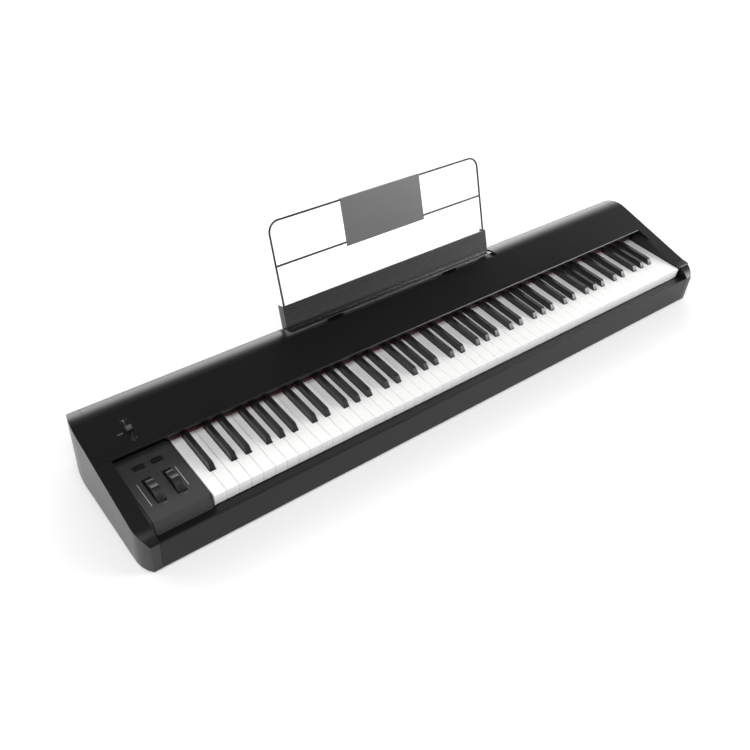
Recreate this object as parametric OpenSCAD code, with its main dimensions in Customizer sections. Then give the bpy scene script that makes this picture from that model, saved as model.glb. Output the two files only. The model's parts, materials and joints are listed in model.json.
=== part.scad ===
// Stage piano: 88 hammer-action keys in a low case, with wheels, a slider and a lift-out music rest.
// X runs from the bass end to the treble end, Y from the player to the back, Z up from the floor.
// Drawing heights and depths are taken from the floor and from the white keys' front edge.

/* [Keyboard] */
// Distance from one white key to the next
key_pitch = 23.5; // [22.5:0.1:24]
// Visible length of a white key
white_len = 147.5; // [140:0.5:155]
// Gap between neighbouring keys
key_gap = 1; // [0.8:0.1:1.4]
// Height of the white keys' tops above the floor
key_top = 80; // [74:1:90]
// Depth of a white key's front face
white_front_h = 22; // [18:1:25]
// Thickness of a key's stick
stick_h = 12; // [9:1:14]
// Distance from the white keys' front edge to the black keys' front
black_front = 50; // [46:0.5:54]
// Height of a black key above the white ones
black_rise = 12; // [10:0.5:13]
// Width of a black key at its foot
black_w = 11; // [9.5:0.5:11.5]
// Width of a black key along its top
black_top_w = 9; // [8:0.5:9.5]
// How far a white key's front goes down
key_dip = 10; // [8:0.5:11]
// Distance from the white keys' front edge to the pivot rail
pivot_y = 232; // [215:1:236]

/* [Case] */
// Thickness of each end cheek at its corners
cheek_t = 15; // [10:1:20]
// How far each cheek bows out past its corners
cheek_bow = 14; // [8:1:18]
// Room between the left cheek and the first key
left_room = 110; // [105:1:140]
// Room between the last key and the right cheek
right_room = 7; // [7:1:14]
// Distance from the rail's front face to the white keys' front edge
rail_reach = 25; // [25:1:34]
// Slope of the top, in degrees
slope_angle = 12.9; // [10:0.1:14]
// Length of the sloping top, measured along Y
slope_run = 211; // [204:1:216]
// Radius of the rounded crest
crest_r = 65; // [55:5:80]
// Radius of the rounded back edge
back_r = 34; // [28:1:38]
// Wall thickness of the plastic mouldings
wall = 3; // [2:0.25:4]
// Distance from the white keys' front edge to the cover's front edge
cover_front = 134; // [130:1:140]
// Height of the feet
foot_h = 4; // [3:0.5:8]

/* [Controls] */
// Width of the control panel
panel_w = 98.5; // [96:0.5:101]
// Radius of the pitch and modulation wheels
wheel_r = 32; // [28:0.5:34]
// Width of each wheel
wheel_w = 14; // [11:0.5:15]
// How far a wheel stands out of the panel
wheel_rise = 13; // [9:0.5:14]
// Travel of the volume slider
slider_travel = 38; // [30:1:40]
// Travel of a push button
button_travel = 1.5; // [1:0.1:2]

/* [Music rest] */
// Width of the rest's folded shelf
shelf_w = 525; // [440:1:560]
// Height of the shelf's back, along its lean
shelf_h = 51; // [40:1:60]
// Height of the wire frame, along its lean
frame_h = 211; // [180:1:240]
// Lean of the rest from upright, in degrees
rest_lean = 20; // [15:0.5:25]
// Diameter of the frame's wire
wire_d = 4; // [4:0.5:6]
// Width of the plate in the middle of the frame
plate_w = 196; // [160:1:220]

/* [Hidden] */

// Clearances
seam = 0.4;       // between fixed mouldings
slide_gap = 0.5;  // round a piece that slides
run_gap = 0.05;   // round a shaft in its hole
touch_gap = 0.2;  // under a piece that rests on another body

// Keyboard layout: 52 white keys from A to C, seven and a bit octaves
white_count = 52;
octave_whites = 7;
first_c = 2;
keyboard_w = white_count * key_pitch;
inner_w = left_room + keyboard_w + right_room;
inner_x = inner_w / 2;
keys_x = left_room - inner_x;

// Heights
case_z = foot_h;
floor_t = wall;
floor_top = case_z + floor_t;
front_y = -rail_reach;

// Side outline: nose arc, slope, crest arc, back arc
nose_r = 50;
nose_sweep = 38;
slope_y = 3;
slope_z = key_top + 1.5;
arc_steps = 14;
back_angle = 20;
function up_normal(a) = [-sin(a), cos(a)];
function arc(c, r, from, to) =
    [for (i = [0:arc_steps]) let (a = from + (to - from) * i / arc_steps) c + r * [cos(a), sin(a)]];
slope_start = [slope_y, slope_z];
slope_end = slope_start + slope_run * [1, tan(slope_angle)];
nose_c = slope_start - nose_r * up_normal(slope_angle);
crest_c = slope_end - crest_r * up_normal(slope_angle);
crest_end = crest_c + crest_r * up_normal(-back_angle);
back_c = crest_end - back_r * up_normal(-back_angle);
back_y = back_c[0] + back_r;
crest_z = crest_c[1] + crest_r;
function slope_at(y) = slope_z + (y - slope_y) * tan(slope_angle);
nose = arc(nose_c, nose_r, 90 + slope_angle + nose_sweep, 90 + slope_angle);
crest = arc(crest_c, crest_r, 90 + slope_angle, 90 - back_angle);
back = arc(back_c, back_r, 90 - back_angle, 0);

// Key action
black_slot = black_w + 2 * key_gap;
key_rear = pivot_y + 10;
pivot_r = 3;
pivot_gap = 0.2;
stick_z = key_top - stick_h;
dip_angle = atan(key_dip / pivot_y);
tab_y = 60;
tab_l = 5;
tab_w = 6;
tab_drop = 20;
plunger_y = 80;
plunger_l = 6;
plunger_drop = 3;
hammer_y = 110;
hammer_z = stick_z - tab_drop - 8;
hammer_w = 8;
hammer_rod_r = 2;
hammer_ratio = (pivot_y - tab_y) / (hammer_y - tab_y);
arm_h = 7;
weight_l = 24;
weight_h = 16;
rail_t = 4;
weight_to_rail = 34;
hammer_tail = pivot_y - rail_t / 2 - weight_to_rail - weight_l - hammer_y;
pad_gap = 1;      // between a key's tab and its hammer's pad at rest
pad_lap = 1;      // how far the pad reaches past the tab, each way

// Sheet steel frame under the keys, raised off the case floor on ribs and bosses
frame_t = 1.5;
frame_front = 8;
frame_rear = 250;
frame_z = floor_top + 2;

// Screws put in from below: those in the frame, and those in the cover's rear bosses
screw_r = 1.75;
screw_head_r = 3.4;
screw_head_h = 2;
screw_tip = 3;    // past the frame
screw_bite = 12;  // into a cover boss
boss_r = 4.5;
frame_screw_y = 150;
frame_screw_x = [for (i = [0:3]) keys_x + keyboard_w * (i + 0.5) / 4];
cover_screw_x = [for (i = [-2:2]) i * 215];

// Control panel
panel_top = key_top + 2.5;
panel_x = -inner_x + (left_room - panel_w) / 2 - 0.5;
panel_front = 4.5;
panel_foot_y = -6.6;
panel_foot_z = key_top - 19.4;
step_drop = 3;    // from the panel's top to the steps along its sides
step_t = 2;
panel_rear = 152;
slot_w = wheel_w + 3;
slot_l = 59;
wheel_y = 63.5;
wheel_z = panel_top + wheel_rise - wheel_r;
pitch_x = keys_x - 73;
mod_x = keys_x - 36.7;
axle_r = 2.5;
notch_r = 8;
notch_turn = 10;
bracket_t = 2.5;
button_l = 19;
button_w = 9;
button_y = 119.5;
button_rise = 3;
button_corner = 2.5;
down_x = keys_x - 71.4;
up_x = keys_x - 39.3;
panel_board_z = panel_top - wall - 12;

// Slider on the slope
slider_x = keys_x - 59;
slider_y = 173;
slider_slot_w = 3.6;
cap_l = 10;
cap_w = 12;
cap_h = 6;
stem_w = 1.6;
stem_l = 5;
stem_drop = 11;
slider_slot_l = slider_travel + stem_l + 6;

// Music rest: local y is square to its plane and local z runs up it, from the fold
fold_y = 237.5;
fold_z = key_top + 51;
sheet_t = 1.5;
return_d = 18;
ledge_d = 14;
bar_z = 127.7;
bend_r = 22;
wire_x = shelf_w / 2 - 5;
wire_y = sheet_t + wire_d / 2;
plate_t = 1.2;
plate_drop = 7.5;
plate_top = frame_h + wire_d / 2 + plate_t;
tongue_x = 150;
tongue_w = 40;
tongue_h = 14;
pocket_y = 219;
pocket_z = fold_z - ledge_d * sin(rest_lean) - touch_gap;
pocket_side = 8;
pocket_flare = 4;

// Back panel
jack_x = keys_x - 98;
jack_w = 190;
jack_z = case_z + 16;
jack_h = 36;
jack_t = 2;
jack_mid = jack_z + jack_h / 2;
pedal_r = 3.2;
dc_r = 2.75;
dc_pin_r = 1;
din_r = 7.5;

// The whole object is centred on Y between the rail's face and the top of the rest
rest_back = fold_y + plate_top * sin(rest_lean) + (wire_y + wire_d / 2) * cos(rest_lean);
y_mid = (front_y + rest_back) / 2;

eps = 0.01;

case_black = [0.04, 0.04, 0.045];
panel_grey = [0.16, 0.16, 0.17];
key_white = [0.95, 0.95, 0.93];
key_black = [0.08, 0.08, 0.085];
felt_red = [0.45, 0.03, 0.06];
steel = [0.6, 0.61, 0.63];
dark_steel = [0.2, 0.2, 0.21];
board_green = [0.05, 0.3, 0.15];

module place() translate([0, -y_mid, 0]) children();

// A side outline in Y and Z, drawn out from x0 to x1
module along_x(x0, x1)
    translate([x0, 0, 0]) rotate([90, 0, 90]) linear_extrude(x1 - x0) children();

module box(x0, x1, y0, y1, z0, z1) translate([x0, y0, z0]) cube([x1 - x0, y1 - y0, z1 - z0]);

module rod_x(x0, x1, y, z, r) translate([x0, y, z]) rotate([0, 90, 0]) cylinder(h = x1 - x0, r = r,
    $fn = 48);

// Outline of the cheeks, and of the whole case
module side_outline()
    polygon(concat([[front_y, case_z], [front_y, nose[0][1]]], nose, crest, back, [[back_y, case_z]]));

// Radius of the arc that runs a cheek's bow in over a stretch of its length
function bow_r(run) = (run * run + cheek_bow * cheek_bow) / (2 * cheek_bow);

bow_front = 12;
bow_rear = 200;
module bow_plan() {
    rf = bow_r(bow_front - front_y);
    rb = bow_r(back_y - bow_rear);
    af = asin((bow_front - front_y) / rf);
    ab = asin((back_y - bow_rear) / rb);
    out = cheek_t + cheek_bow;
    polygon(concat([[0, front_y]],
        [for (p = arc([out - rf, bow_front], rf, -af, 0)) p],
        [for (p = arc([out - rb, bow_rear], rb, 0, ab)) p],
        [[0, back_y]]));
}

// Level step at the right end, as high as the block beside the last key
block_top = key_top + 4.5;
block_rear = slope_y + (block_top - slope_z) / tan(slope_angle);

// Right cheek, its inner face on x = 0
module cheek(step = false) {
    cheek_floor = 4;
    web = 5;
    difference() {
        intersection() {
            along_x(0, cheek_t + cheek_bow) {
                side_outline();
                if (step) polygon([[-1, key_top - 4], [-1, block_top - 1], [0, block_top],
                    [block_rear + 1, block_top], [block_rear + 2, key_top - 4]]);
            }
            translate([0, 0, case_z]) linear_extrude(crest_z) bow_plan();
        }
        // hollow for the fixings, open to the inside of the case
        translate([-eps, 0, 0]) along_x(0, cheek_t - web)
            polygon([[slope_y, case_z + cheek_floor], [slope_y, slope_z - 2 * cheek_floor],
                [slope_end[0], slope_end[1] - 3 * cheek_floor],
                [back_c[0], case_z + cheek_floor]]);
    }
}

module right_cheek() color(case_black) place() translate([inner_x + seam / 2, 0, 0])
    cheek(step = true);
module left_cheek() color(case_black) place() mirror([1, 0, 0])
    translate([inner_x + seam / 2, 0, 0]) cheek();

module bottom_case() color(case_black) place() difference() {
    union() {
        for (x = frame_screw_x) translate([x, frame_screw_y, case_z]) cylinder(h = frame_z - case_z,
            r = boss_r, $fn = 48);
        box(-inner_x + seam, inner_x - seam, front_y + wall + seam, back_y - wall - seam, case_z,
            floor_top);
        // ribs that carry the key frame
        for (y = [frame_front + 30, pivot_y - 20])
            box(keys_x, keys_x + keyboard_w, y, y + wall, case_z, frame_z);
    }
    for (x = foot_places) translate([x[0], x[1], case_z - eps]) cylinder(h = 1, r = foot_r + seam,
        $fn = 48);
    screw_holes(frame_screw_x, frame_screw_y);
    screw_holes(cover_screw_x, cover_screw_y);
}

// A row of screws put in from below, each reaching up to z1
module screws(places, y, z1) for (x = places) translate([x, y, case_z]) {
    cylinder(h = screw_head_h, r = screw_head_r, $fn = 48);
    cylinder(h = z1 - case_z, r = screw_r, $fn = 48);
}
module screw_holes(places, y) for (x = places) translate([x, y, case_z - 1]) {
    cylinder(h = screw_head_h + 1, r = screw_head_r + seam, $fn = 48);
    cylinder(h = frame_z, r = screw_r + run_gap, $fn = 48);
}
module case_screws() color(steel) place() {
    screws(frame_screw_x, frame_screw_y, frame_z + frame_t + screw_tip);
    screws(cover_screw_x, cover_screw_y, cover_back_z + screw_bite);
}

foot_r = 11;
foot_in = 60;
foot_places = [for (x = [-inner_x + foot_in, 0, inner_x - foot_in]) for (y = [foot_in / 2,
    back_y - foot_in]) [x, y]];
module feet() color(key_black) place()
    for (x = foot_places) translate([x[0], x[1], 0]) cylinder(h = foot_h + 1 - eps, r = foot_r, $fn = 48);

// Front rail: a plain front with a flange that falls back towards the keys
rail_top = key_top - 16;
rail_lip_y = -3;
rail_lip_z = key_top - 21.5;
module front_rail() color(case_black) place() along_x(-inner_x + seam / 2, inner_x - seam / 2)
    polygon([[front_y, case_z], [front_y, rail_top - 2], [front_y + 1, rail_top], [front_y + 4, rail_top],
        [rail_lip_y, rail_lip_z], [rail_lip_y, rail_lip_z - wall], [front_y + wall + 1,
            rail_top - wall - 1],
        [front_y + wall, case_z]]);

// Outline of the cover's skin, open at the bottom
cover_back_z = floor_top + seam;
lip_t = 5;
cover_screw_y = back_y - wall - boss_r - slide_gap;
module cover_outline() polygon(concat([[cover_front, slope_at(cover_front) - lip_t],
    [cover_front, slope_at(cover_front) - 1], [cover_front + 1, slope_at(cover_front + 1)]],
    crest, back, [[back_y, case_z], [cover_front, case_z]]));
module cover_hollow() {
    inner_crest = arc(crest_c, crest_r - wall, 90 + slope_angle, 90 - back_angle);
    inner_back = arc(back_c, back_r - wall, 90 - back_angle, 0);
    thin_y = cover_front + lip_t;
    polygon(concat([[cover_front - 1, case_z - 1], [cover_front - 1, slope_at(cover_front) - lip_t],
        [thin_y, slope_at(thin_y) - lip_t], [thin_y + lip_t, slope_at(thin_y + lip_t) - wall]],
        inner_crest, inner_back, [[back_y - wall, case_z - 1]]));
}

// Pocket in the crest that the music rest stands in; it narrows a little towards the back
module pocket_plan(grow) {
    half = shelf_w / 2 + pocket_side + grow;
    polygon([[-half - pocket_flare, pocket_y - grow], [half + pocket_flare, pocket_y - grow],
        [half, back_y], [-half, back_y]]);
}

module top_cover() color(case_black) place() difference() {
    union() {
        difference() {
            along_x(-inner_x + seam / 2, inner_x - seam / 2) cover_outline();
            along_x(-inner_x - 1, inner_x + 1) cover_hollow();
        }
        // rib that carries the felt
        box(keys_x, keys_x + keyboard_w, white_len + felt_t, white_len + felt_t + wall, key_top + 2,
            slope_at(white_len) - wall / 2);
        intersection() {
            along_x(-inner_x, inner_x) cover_outline();
            union() {
                translate([0, 0, pocket_z - wall]) linear_extrude(crest_z) pocket_plan(wall);
                for (x = cover_screw_x) translate([x, cover_screw_y, case_z]) cylinder(h = crest_z,
                    r = boss_r, $fn = 48);
            }
        }
    }
    for (x = cover_screw_x) translate([x, cover_screw_y, 0])
        cylinder(h = cover_back_z + screw_bite + 2, r = screw_r + run_gap, $fn = 48);
    translate([0, 0, pocket_z]) linear_extrude(crest_z) pocket_plan(0);
    // slots for the rest's tongues
    for (x = [-tongue_x, tongue_x]) rest_place() box(x - tongue_w / 2 - slide_gap,
        x + tongue_w / 2 + slide_gap, -slide_gap, sheet_t + slide_gap, -2 * tongue_h, tongue_h);
    // slot for the slider's stem
    on_slope(slider_x, slider_y) box(-slider_slot_w / 2, slider_slot_w / 2, -slider_slot_l / 2,
        slider_slot_l / 2, -2 * wall, 2 * wall);
    // window for the jack plate
    box(jack_x, jack_x + jack_w, back_y - 2 * wall, back_y + 1, jack_z, jack_z + jack_h);
    box(-inner_x, inner_x, cover_front, back_y + 1, 0, cover_back_z);
}

// A spot on the sloping top, with z square to the slope
module on_slope(x, y) translate([x, y, slope_at(y)]) rotate([slope_angle, 0, 0]) children();

module control_panel() color(panel_grey) place() difference() {
    union() {
        along_x(panel_x, panel_x + panel_w) polygon([[panel_foot_y, panel_foot_z],
            [panel_front - 0.7, panel_top - 0.8], [panel_front, panel_top], [panel_rear, panel_top],
            [panel_rear, panel_foot_z]]);
        // a step set back all round that closes the gaps beside the panel
        along_x(-inner_x + seam, keys_x - 1) polygon([[panel_foot_y + step_drop, panel_foot_z],
            [panel_front + step_drop, panel_top - step_drop], [panel_rear, panel_top - step_drop],
            [panel_rear, panel_top - step_drop - step_t],
            [panel_front + step_drop + step_t, panel_top - step_drop - step_t],
            [panel_foot_y + step_drop + step_t, panel_foot_z]]);
    }
    along_x(panel_x + wall, panel_x + panel_w - wall) polygon([[panel_foot_y + wall, panel_foot_z - 1],
        [panel_front + wall, panel_top - wall], [panel_rear - wall, panel_top - wall],
        [panel_rear - wall, panel_foot_z - 1]]);
    for (x = [pitch_x, mod_x]) box(x - slot_w / 2, x + slot_w / 2, wheel_y - slot_l / 2,
        wheel_y + slot_l / 2,
        panel_top - 2 * wall, panel_top + 1);
    for (x = [down_x, up_x]) translate([x, button_y, panel_top - 2 * wall])
        round_block(button_l + 2 * slide_gap, button_w + 2 * slide_gap, 3 * wall, button_corner);
}

// A block with round corners of radius r, seen from above
module round_block(l, w, h, r) {
    translate([-l / 2 + r, -w / 2, 0]) cube([l - 2 * r, w, h]);
    translate([-l / 2, -w / 2 + r, 0]) cube([l, w - 2 * r, h]);
    for (x = [-1, 1] * (l / 2 - r)) for (y = [-1, 1] * (w / 2 - r)) translate([x, y, 0])
        cylinder(h = h, r = r, $fn = 40);
}

module button(x) color(key_black) place() translate([x, button_y, 0]) {
    flange_t = 1.2;
    under = panel_top - wall - slide_gap;
    translate([0, 0, under - flange_t]) round_block(button_l, button_w,
        panel_top + button_rise - under + flange_t, button_corner);
    translate([0, 0, under - flange_t]) round_block(button_l + 4, button_w + 4, flange_t,
        button_corner);
    translate([0, 0, panel_board_z + button_travel + 0.5])
        cylinder(h = under - panel_board_z - button_travel - 0.5 - flange_t / 2, r = 2, $fn = 32);
}
module octave_down_button() button(down_x);
module octave_up_button() button(up_x);

module panel_board() color(board_green) place() difference() {
    box(panel_x + wall + 1, panel_x + panel_w - wall - 1, wheel_y + slot_l / 2 + 6, panel_rear - wall - 1,
        panel_board_z - 1.6, panel_board_z);
    for (x = [panel_x + wall + 6, panel_x + panel_w - wall - 6])
        translate([x, panel_rear - wall - 6, panel_board_z - 5]) cylinder(h = 10, r = 1.6, $fn = 32);
}

// A wheel on its axle, with a thumb notch between two ridges near its top
module wheel(x) color(key_black) place() difference() {
    rod_x(x - wheel_w / 2, x + wheel_w / 2, wheel_y, wheel_z, wheel_r);
    rod_x(x - wheel_w, x + wheel_w, wheel_y, wheel_z, axle_r + run_gap);
    translate([0, wheel_y, wheel_z]) rotate([-notch_turn, 0, 0])
        rod_x(x - wheel_w, x + wheel_w, 0, wheel_r + notch_r / 2, notch_r);
}
module pitch_wheel() wheel(pitch_x);
module mod_wheel() wheel(mod_x);

cheek_plates = [pitch_x - wheel_w / 2 - 5, (pitch_x + mod_x) / 2, mod_x + wheel_w / 2 + 5];
bracket_half = 12;
module wheel_bracket() color(steel) place() difference() {
    union() {
        for (x = cheek_plates) box(x - bracket_t / 2, x + bracket_t / 2, wheel_y - bracket_half,
            wheel_y + bracket_half,
            floor_top, wheel_z + 8);
        box(cheek_plates[0] - bracket_t / 2, cheek_plates[2] + bracket_t / 2, wheel_y - bracket_half,
            wheel_y + bracket_half, floor_top, floor_top + bracket_t);
    }
    rod_x(cheek_plates[0] - 5, cheek_plates[2] + 5, wheel_y, wheel_z, axle_r + run_gap);
}
module wheel_axle() color(steel) place() rod_x(cheek_plates[0] - 4, cheek_plates[2] + 4, wheel_y,
    wheel_z, axle_r);

spring_r = 6;
module pitch_spring() color(steel) place()
    for (i = [0:2]) translate([cheek_plates[0] + bracket_t / 2 + 0.8 + i * 1.1, wheel_y,
        wheel_z]) rotate([0, 90, 0])
        rotate_extrude($fn = 48) translate([spring_r, 0]) circle(r = 0.5, $fn = 16);

module slider_cap() color(key_black) place() on_slope(slider_x, slider_y) {
    box(-cap_w / 2, cap_w / 2, -cap_l / 2, cap_l / 2, slide_gap, cap_h);
    box(-stem_w / 2, stem_w / 2, -stem_l / 2, stem_l / 2, -stem_drop, slide_gap + 1);
}

// Slider track, held off the cover by four spacers
module slider_body() color(steel) place() on_slope(slider_x, slider_y) {
    half_w = 5;
    half_l = slider_slot_l / 2 + 6;
    top = -wall - 1;
    difference() {
        box(-half_w, half_w, -half_l, half_l, top - 9, top);
        box(-stem_w, stem_w, -slider_slot_l / 2, slider_slot_l / 2, top - 8, top + 1);
    }
    for (side = [-1, 1]) for (y = [-1, 1] * (slider_travel / 2 - 5))
        translate([side * (half_w + stem_w) / 2, y, top - 1]) cylinder(h = -wall - top + 1, r = 1.4,
            $fn = 32);
}

// Block that fills the gap beside the last key, level at its front and then flush with the cheek
block_shoulder = 94;
module right_key_block() color(case_black) place() along_x(keys_x + keyboard_w + 1, inner_x - seam)
    polygon([[-1, key_top - 19], [-1, block_top - 1], [0, block_top], [block_rear, block_top],
        [block_shoulder, slope_at(block_shoulder)], [cover_front + 10, slope_at(block_shoulder)],
        [cover_front + 10, key_top - 19]]);

// Red felt behind the visible keys, glued to the cover's rib
felt_t = 2;
felt_h = 6;
module felt_strip() color(felt_red) place() {
    box(keys_x, keys_x + keyboard_w, white_len, white_len + felt_t, key_top + 0.8, key_top + felt_h);
}

module key_frame() color(steel) place() difference() {
    union() {
        along_x(keys_x, keys_x + keyboard_w) {
            translate([frame_front, frame_z]) square([frame_rear - frame_front, frame_t]);
            // front upright and its flange for the stop felt
            translate([frame_front, frame_z]) square([frame_t, stop_z - frame_z]);
            translate([frame_front, stop_z - frame_t]) square([12, frame_t]);
            // shelf for the contact board
            translate([shelf_y, shelf_z - frame_t]) square([shelf_d, frame_t]);
        }
        for (x = comb_x) box(x - 1.5, x + 1.5, shelf_y, hammer_y + 10, frame_z, shelf_z - frame_t / 2);
    }
    rod_x(keys_x - 1, keys_x + keyboard_w + 1, hammer_y, hammer_z, hammer_rod_r + run_gap);
    for (x = frame_screw_x) translate([x, frame_screw_y, 0])
        cylinder(h = frame_z + 2 * frame_t, r = screw_r + run_gap, $fn = 48);
}

stop_felt_t = 2;
stop_z = key_top - white_front_h - key_dip - stop_felt_t - 0.5;
shelf_y = tab_y + tab_l + 5;
shelf_d = 28;
board_t = 1.6;
dome_h = 6;
shelf_z = stick_z - plunger_drop - (pivot_y - plunger_y) * tan(dip_angle) - dome_h - board_t - 0.6;
// combs that hold the hammer rod and the shelf stand in the wide gaps below each C, and at both ends
comb_x = concat([keys_x + 1.5], [for (n = [1:7]) octave_x(n)], [keys_x + keyboard_w - 1.5]);

module hammer_rod() color(steel) place()
    rod_x(keys_x + 0.5, keys_x + keyboard_w - 0.5, hammer_y, hammer_z, hammer_rod_r);

module key_pivot_rail() color(steel) place() {
    box(keys_x, keys_x + keyboard_w, pivot_y - rail_t / 2, pivot_y + rail_t / 2, frame_z + frame_t,
        stick_z - 1);
    rod_x(keys_x, keys_x + keyboard_w, pivot_y, stick_z, pivot_r);
}

module front_stop_felt() color(felt_red) place()
    box(keys_x + 1, keys_x + keyboard_w - 1, frame_front, frame_front + 12, stop_z, stop_z + stop_felt_t);

module contact_board() color(board_green) place()
    box(keys_x + 2, keys_x + keyboard_w - 2, shelf_y, shelf_y + shelf_d, shelf_z, shelf_z + board_t);

module contact_strip() color(panel_grey) place()
    box(keys_x + 3, keys_x + keyboard_w - 3, plunger_y - 3, plunger_y + plunger_l + 3, shelf_z + board_t,
        shelf_z + board_t + dome_h);

module main_board() color(board_green) place() {
    z = floor_top + 6;
    box(panel_x + 4, panel_x + panel_w - 6, 160, back_y - wall - 26, z, z + board_t);
    for (x = [panel_x + 10, panel_x + panel_w - 12]) for (y = [168, back_y - wall - 34])
        translate([x, y, floor_top]) cylinder(h = z - floor_top, r = 3, $fn = 32);
}

// Rest: everything on it is drawn in its own leaning frame
module rest_place() translate([0, fold_y, fold_z]) rotate([-rest_lean, 0, 0]) children();

module rest_shelf() color(dark_steel) place() rest_place() {
    half = shelf_w / 2;
    box(-half, half, 0, sheet_t, 0, shelf_h);
    box(-half, half, -ledge_d, sheet_t, 0, sheet_t);
    for (x = [-half, half - sheet_t]) box(x, x + sheet_t, 0, return_d, sheet_t, shelf_h);
    for (x = [-tongue_x, tongue_x]) box(x - tongue_w / 2, x + tongue_w / 2, 0, sheet_t, -tongue_h, 1);
}

module wire_bar(x0, x1, z) rod_x(x0, x1, wire_y, z, wire_d / 2);
module rest_frame() color(dark_steel) place() rest_place() {
    top_x = wire_x - bend_r;
    leg_foot = 6;
    wire_bar(-top_x, top_x, frame_h);
    wire_bar(-wire_x, wire_x, bar_z);
    for (s = [-1, 1]) {
        translate([s * wire_x, wire_y, leg_foot]) cylinder(h = frame_h - bend_r - leg_foot,
            r = wire_d / 2, $fn = 48);
        translate([s * top_x, wire_y, frame_h - bend_r]) rotate([90, 0, 0]) rotate([0, 0, s > 0 ? 0 : 90])
            rotate_extrude(angle = 90, $fn = 64) translate([bend_r, 0]) circle(r = wire_d / 2, $fn = 32);
    }
}

module rest_plate() color(dark_steel) place() rest_place() {
    front = wire_y - wire_d / 2 - plate_t;
    low = bar_z - plate_drop;
    box(-plate_w / 2, plate_w / 2, front, front + plate_t, low, plate_top);
    box(-plate_w / 2, plate_w / 2, front, wire_y + wire_d / 2, plate_top - plate_t, plate_top);
    box(-plate_w / 2, plate_w / 2, front, wire_y, low, low + plate_t);
}

// Back panel and what is on it
module jack_hole(x, r) translate([x, back_y + 1, jack_mid]) rotate([90, 0, 0]) cylinder(h = 30, r = r,
    $fn = 48);
power_x = jack_x + 15;
dc_x = jack_x + 35;
usb_x = jack_x + 58;
midi_x = jack_x + 88;
pedal_x = [for (i = [0:2]) jack_x + 120 + i * 22];
barrel_r = 5;
power_r = 5;
socket_l = 20;
plate_y = back_y - wall - jack_t;
usb_w = 12;
usb_h = 11;
module jack_plate() color(panel_grey) place() difference() {
    box(jack_x - 4, jack_x + jack_w + 4, plate_y, plate_y + jack_t - 0.1, jack_z - 4, jack_z + jack_h + 4);
    jack_hole(power_x, power_r + slide_gap);
    jack_hole(dc_x, barrel_r + run_gap);
    box(usb_x - usb_w / 2 - 1, usb_x + usb_w / 2 + 1, plate_y - 1, back_y, jack_mid - usb_h / 2 - 1,
        jack_mid + usb_h / 2 + 1);
    jack_hole(midi_x, din_r + 2.5 + run_gap);
    for (x = pedal_x) jack_hole(x, barrel_r + run_gap);
}

// A round socket through the jack plate, with its body behind
module socket(x, bore_r, sleeve_r, body) difference() {
    union() {
        translate([x, plate_y + jack_t + 1, jack_mid]) rotate([90, 0, 0]) cylinder(h = jack_t + 2,
            r = sleeve_r, $fn = 48);
        box(x - body / 2, x + body / 2, plate_y - socket_l, plate_y - 0.1, jack_mid - body / 2,
            jack_mid + body / 2);
    }
    translate([x, plate_y + jack_t + 2, jack_mid]) rotate([90, 0, 0]) cylinder(h = socket_l, r = bore_r,
        $fn = 48);
}
module dc_inlet() color(key_black) place() {
    socket(dc_x, dc_r, barrel_r, 13);
    translate([dc_x, plate_y + jack_t, jack_mid]) rotate([90, 0, 0]) cylinder(h = socket_l, r = dc_pin_r,
        $fn = 24);
}
module midi_port() color(key_black) place() socket(midi_x, din_r, din_r + 2.5, 22);
module pedal_jacks() color(key_black) place() for (x = pedal_x) socket(x, pedal_r, barrel_r, 15);
module usb_port() color(steel) place() difference() {
    box(usb_x - usb_w / 2, usb_x + usb_w / 2, plate_y - 16, plate_y + jack_t + 0.5, jack_mid - usb_h / 2,
        jack_mid + usb_h / 2);
    box(usb_x - usb_w / 2 + 1.5, usb_x + usb_w / 2 - 1.5, plate_y - 12, back_y + 1,
        jack_mid - usb_h / 2 + 1.5,
        jack_mid + usb_h / 2 - 1.5);
}
module power_button() color(key_black) place() translate([power_x, plate_y, jack_mid]) rotate([90, 0, 0]) {
    translate([0, 0, -jack_t - 3]) cylinder(h = jack_t + 6, r = power_r, $fn = 48);
    translate([0, 0, 0.5]) cylinder(h = 2.5, r = power_r + 2, $fn = 48);
}

// Middle of a key's stick at its rear, for a semitone of the octave that starts on C
function stick_x(s) = key_pitch * (s < 5 ? (s + 0.5) * 3 / 5 : 3 + (s - 4.5) * 4 / 7);
function octave_x(n) = keys_x + (octave_whites * (n - 1) + first_c) * key_pitch;
function note_x(s) = [for (n = [0:8]) let (x = octave_x(n) + stick_x(s))
    if (x > keys_x + key_pitch / 4 && x < keys_x + keyboard_w - key_pitch / 4) x];
sharps = [1, 3, 6, 8, 10];
black_x = [for (s = sharps) for (x = note_x(s)) x];
function white_i(x) = floor((x - keys_x) / key_pitch);

// The tab that works the hammer, the plunger over its contact, and the cut over the pivot rail
module key_underside(x) {
    box(x - tab_w / 2, x + tab_w / 2, tab_y, tab_y + tab_l, stick_z - tab_drop, stick_z + 1);
    box(x - tab_w / 2, x + tab_w / 2, plunger_y, plunger_y + plunger_l, stick_z - plunger_drop,
        stick_z + 1);
}
module pivot_cut() rod_x(keys_x - 1, keys_x + keyboard_w + 1, pivot_y, stick_z, pivot_r + pivot_gap);

module white_keys(s) color(key_white) place() difference() {
    for (x = note_x(s)) {
        left = keys_x + white_i(x) * key_pitch;
        difference() {
            along_x(left + key_gap / 2, left + key_pitch - key_gap / 2)
                polygon([[0, key_top - white_front_h], [0, key_top], [key_rear, key_top],
                    [key_rear, stick_z], [12, stick_z], [8, key_top - white_front_h]]);
            for (b = black_x) if (abs(b - left - key_pitch / 2) < key_pitch)
                box(b - black_slot / 2, b + black_slot / 2, black_front - key_gap, key_rear + 1, 0,
                    key_top + 1);
        }
        key_underside(x);
    }
    pivot_cut();
}

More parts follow.
